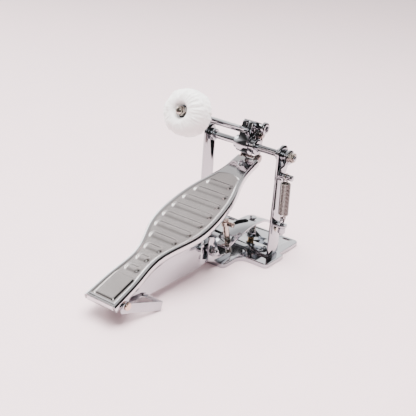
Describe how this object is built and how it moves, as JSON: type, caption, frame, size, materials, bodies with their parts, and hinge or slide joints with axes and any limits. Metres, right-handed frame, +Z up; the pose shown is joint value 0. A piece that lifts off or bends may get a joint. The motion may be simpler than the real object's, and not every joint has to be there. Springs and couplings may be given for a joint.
{
  "type": "bass drum pedal",
  "caption": "Chromed bass drum pedal: a hinged footboard pulls a link that swings a felt beater on a sprung axle between two posts, on a base with a hoop clamp.",
  "frame": {"origin": "on the floor, straight under the middle of the axle, on the plane that halves the footboard", "axes": "+X across to the player's right, +Y forward to the drum along the footboard, +Z up"},
  "size_m": [0.1395, 0.314, 0.2297],
  "materials": {
    "polished_chrome": "polished",
    "satin_panel": "satin pressed steel with a polished edge",
    "warm_nickel": "satin nickel",
    "dark_steel": "oiled dark steel",
    "spring_wire": "dark nickel wire",
    "copper_rivet": "copper-washed steel",
    "brass": "satin brass",
    "white_felt": "soft off-white wool felt"
  },
  "bodies": {
    "frame": {"base_plate": "polished_chrome", "cross_frame": "polished_chrome", "frame_rivets": "polished_chrome", "axle_bush_left": "polished_chrome", "axle_bush_right": "polished_chrome", "linkage_arm": "polished_chrome", "arm_bracket": "polished_chrome", "bracket_rivets": "warm_nickel", "arm_bolt": "polished_chrome", "arm_nut": "polished_chrome", "heel_pin": "copper_rivet", "spring_bracket": "polished_chrome", "bracket_rivet": "warm_nickel", "adjuster_bolt": "polished_chrome", "fulcrum_stud": "polished_chrome", "fulcrum_sleeve": "brass", "fulcrum_nut": "polished_chrome", "clamp_spring": "spring_wire"},
    "axle": {"axle": "polished_chrome", "axle_collars": "polished_chrome", "lever_spacer": "polished_chrome", "axle_end_clip": "polished_chrome", "beater_hub": "polished_chrome", "hub_collar": "polished_chrome", "spring_lever": "polished_chrome", "lever_nut": "warm_nickel", "spring_stud": "polished_chrome", "spring_hook": "spring_wire", "crank_pins": "dark_steel"},
    "beater": {"beater_rod": "polished_chrome", "beater_head": "white_felt", "head_washers": "polished_chrome", "beater_nut": "warm_nickel"},
    "thumb_screw": {"thumb_screw": "polished_chrome"},
    "link": {"link_plates": "dark_steel"},
    "footboard": {"footboard": "satin_panel", "toe_clip": "polished_chrome", "toe_screw": "polished_chrome", "toe_pin": "dark_steel"},
    "heel_foot": {"heel_foot": "polished_chrome"},
    "jaw": {"clamp_jaw": "polished_chrome"},
    "clamp_screw": {"clamp_screw": "warm_nickel"},
    "clamp_handle": {"clamp_handle": "warm_nickel"},
    "adjuster_nut": {"adjuster_nut": "polished_chrome"},
    "spring_low": {"return_spring": "spring_wire"},
    "spring_top": {"spring_top_turns": "spring_wire"}
  },
  "joints": [
    {"name": "axle_turn", "type": "hinge", "parent": "frame", "child": "axle", "pos_m": [0, 0, 0.138], "axis": [-1, 0, 0], "range_deg": [0, 64], "stiffness_Nm_per_rad": 0.5, "springref_deg": -22.92},
    {"name": "footboard_hinge", "type": "hinge", "parent": "frame", "child": "footboard", "pos_m": [0, -0.2415, 0.022], "axis": [-1, 0, 0], "range_deg": [0, 4.9]},
    {"name": "link_swing", "type": "hinge", "parent": "axle", "child": "link", "pos_m": [0, 0.01677, 0.14889], "axis": [1, 0, 0], "range_deg": [0, 77]},
    {"name": "spring_swing", "type": "hinge", "parent": "frame", "child": "spring_low", "pos_m": [0.066, -0.0065, 0.058], "axis": [1, 0, 0], "range_deg": [0, 12.52]},
    {"name": "spring_stretch", "type": "slide", "parent": "spring_low", "child": "spring_top", "axis": [0, -0.037, 0.9993], "range_m": [0, 0.02199], "deforming": ["return_spring"]},
    {"name": "beater_slide", "type": "slide", "parent": "axle", "child": "beater", "axis": [0, -0.9285, 0.3714], "range_m": [-0.03, 0.008]},
    {"name": "thumb_screw_turn", "type": "hinge", "parent": "axle", "child": "thumb_screw", "pos_m": [0, 0.01096, 0.16], "axis": [1, 0, 0], "continuous": true},
    {"name": "heel_foot_fold", "type": "hinge", "parent": "frame", "child": "heel_foot", "pos_m": [0, -0.2415, 0.022], "axis": [1, 0, 0], "range_deg": [-60, 0]},
    {"name": "jaw_tilt", "type": "hinge", "parent": "frame", "child": "jaw", "pos_m": [0.012, 0.012, 0.033], "axis": [-1, 0, 0], "range_deg": [0, 6]},
    {"name": "clamp_screw_travel", "type": "slide", "parent": "jaw", "child": "clamp_screw", "axis": [0, 0.2857, -0.9583], "range_m": [0, 0.0058]},
    {"name": "clamp_handle_turn", "type": "hinge", "parent": "clamp_screw", "child": "clamp_handle", "pos_m": [0.012, -0.0374, 0.0075], "axis": [0, -0.2857, 0.9583], "continuous": true},
    {"name": "adjuster_nut_turn", "type": "hinge", "parent": "frame", "child": "adjuster_nut", "pos_m": [0.066, -0.0065, 0.045], "axis": [0, 0, 1], "continuous": true}
  ],
  "couplings": [
    {"joint": "footboard_hinge", "follows": "axle_turn", "ratio": 0.0754},
    {"joint": "link_swing", "follows": "axle_turn", "ratio": 1.1955},
    {"joint": "spring_swing", "follows": "axle_turn", "ratio": 0.194},
    {"joint": "spring_stretch", "follows": "axle_turn", "m_per_rad": 0.019509},
    {"joint": "clamp_screw_travel", "follows": "jaw_tilt", "m_per_rad": 0.055}
  ]
}
